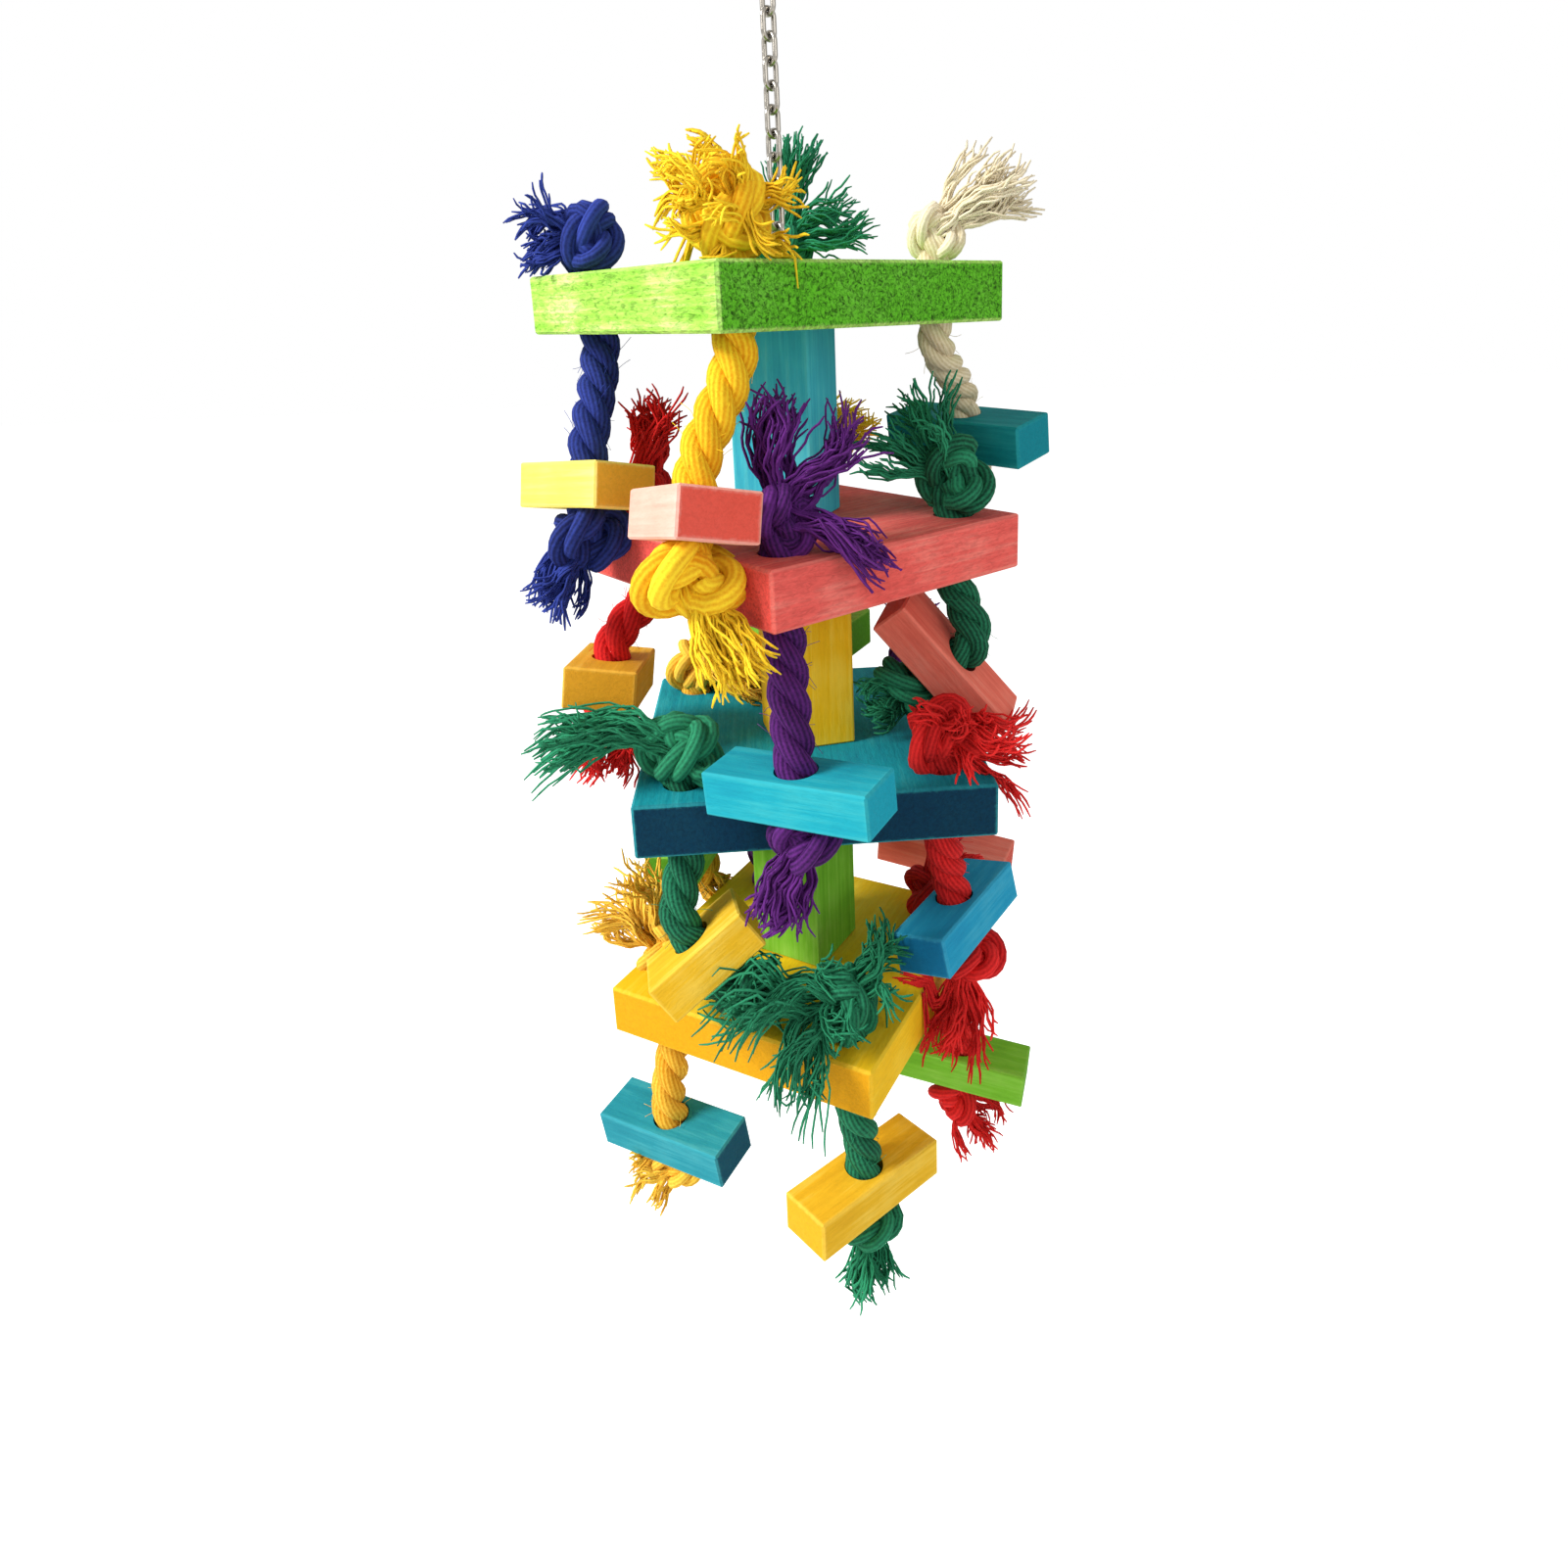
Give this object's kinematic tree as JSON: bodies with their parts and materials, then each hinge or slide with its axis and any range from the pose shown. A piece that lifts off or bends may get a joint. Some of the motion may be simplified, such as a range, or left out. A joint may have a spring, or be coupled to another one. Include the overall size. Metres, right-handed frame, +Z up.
{
  "type": "hanging bird chew toy",
  "caption": "Tiered cage toy for a parrot: square dyed boards and spacers threaded on a chain, with knotted cotton ropes that carry small wooden blocks.",
  "frame": {"origin": "highest point inside the hanging ring, where the hook of the cage bears", "axes": "+Z up along the chain; the view of the picture looks along +Y, with +X to its right"},
  "size_m": [0.1602, 0.1665, 0.4262],
  "materials": {
    "steel": "bright nickel plate on steel wire",
    "rope_amber": "dyed three-strand cotton rope",
    "rope_blue": "dyed three-strand cotton rope",
    "rope_cream": "undyed three-strand cotton rope",
    "rope_green": "dyed three-strand cotton rope",
    "rope_purple": "dyed three-strand cotton rope",
    "rope_red": "dyed three-strand cotton rope",
    "rope_yellow": "dyed three-strand cotton rope",
    "wood_amber": "stained softwood with open grain, unpolished",
    "wood_blue": "stained softwood with open grain, unpolished",
    "wood_green": "stained softwood with open grain, unpolished",
    "wood_red": "stained softwood with open grain, unpolished",
    "wood_salmon": "stained softwood with open grain, unpolished",
    "wood_teal": "stained softwood with open grain, unpolished",
    "wood_turquoise": "stained softwood with open grain, unpolished",
    "wood_yellow": "stained softwood with open grain, unpolished"
  },
  "bodies": {
    "root": {"hanging_ring": "steel", "chain": "steel", "bottom_washer": "steel", "bottom_ring": "steel", "green_board": "wood_green", "red_board": "wood_red", "blue_board": "wood_blue", "yellow_board": "wood_yellow", "top_spacer": "wood_turquoise", "middle_spacer": "wood_yellow", "low_spacer": "wood_green", "block_1_left": "wood_yellow", "block_1_front": "wood_salmon", "block_1_right": "wood_teal", "block_1_back": "wood_teal", "block_2_left": "wood_amber", "block_2_front": "wood_turquoise", "block_2_right": "wood_salmon", "block_2_back": "wood_green", "block_3_left": "wood_yellow", "block_3_front": "wood_turquoise", "block_3_right": "wood_salmon", "block_3_back": "wood_green", "block_4_left": "wood_turquoise", "block_4_front": "wood_yellow", "block_4_right": "wood_green", "block_4_back": "wood_red", "rope_1_left": "rope_blue", "rope_1_front": "rope_yellow", "rope_1_right": "rope_cream", "rope_1_back": "rope_green", "rope_2_left": "rope_red", "rope_2_front": "rope_purple", "rope_2_right": "rope_green", "rope_2_back": "rope_yellow", "rope_3_left": "rope_green", "rope_3_front": "rope_red", "rope_3_right": "rope_purple", "rope_3_back": "rope_amber", "rope_4_left": "rope_amber", "rope_4_front": "rope_green", "rope_4_right": "rope_red", "rope_4_back": "rope_purple"}
  },
  "joints": []
}
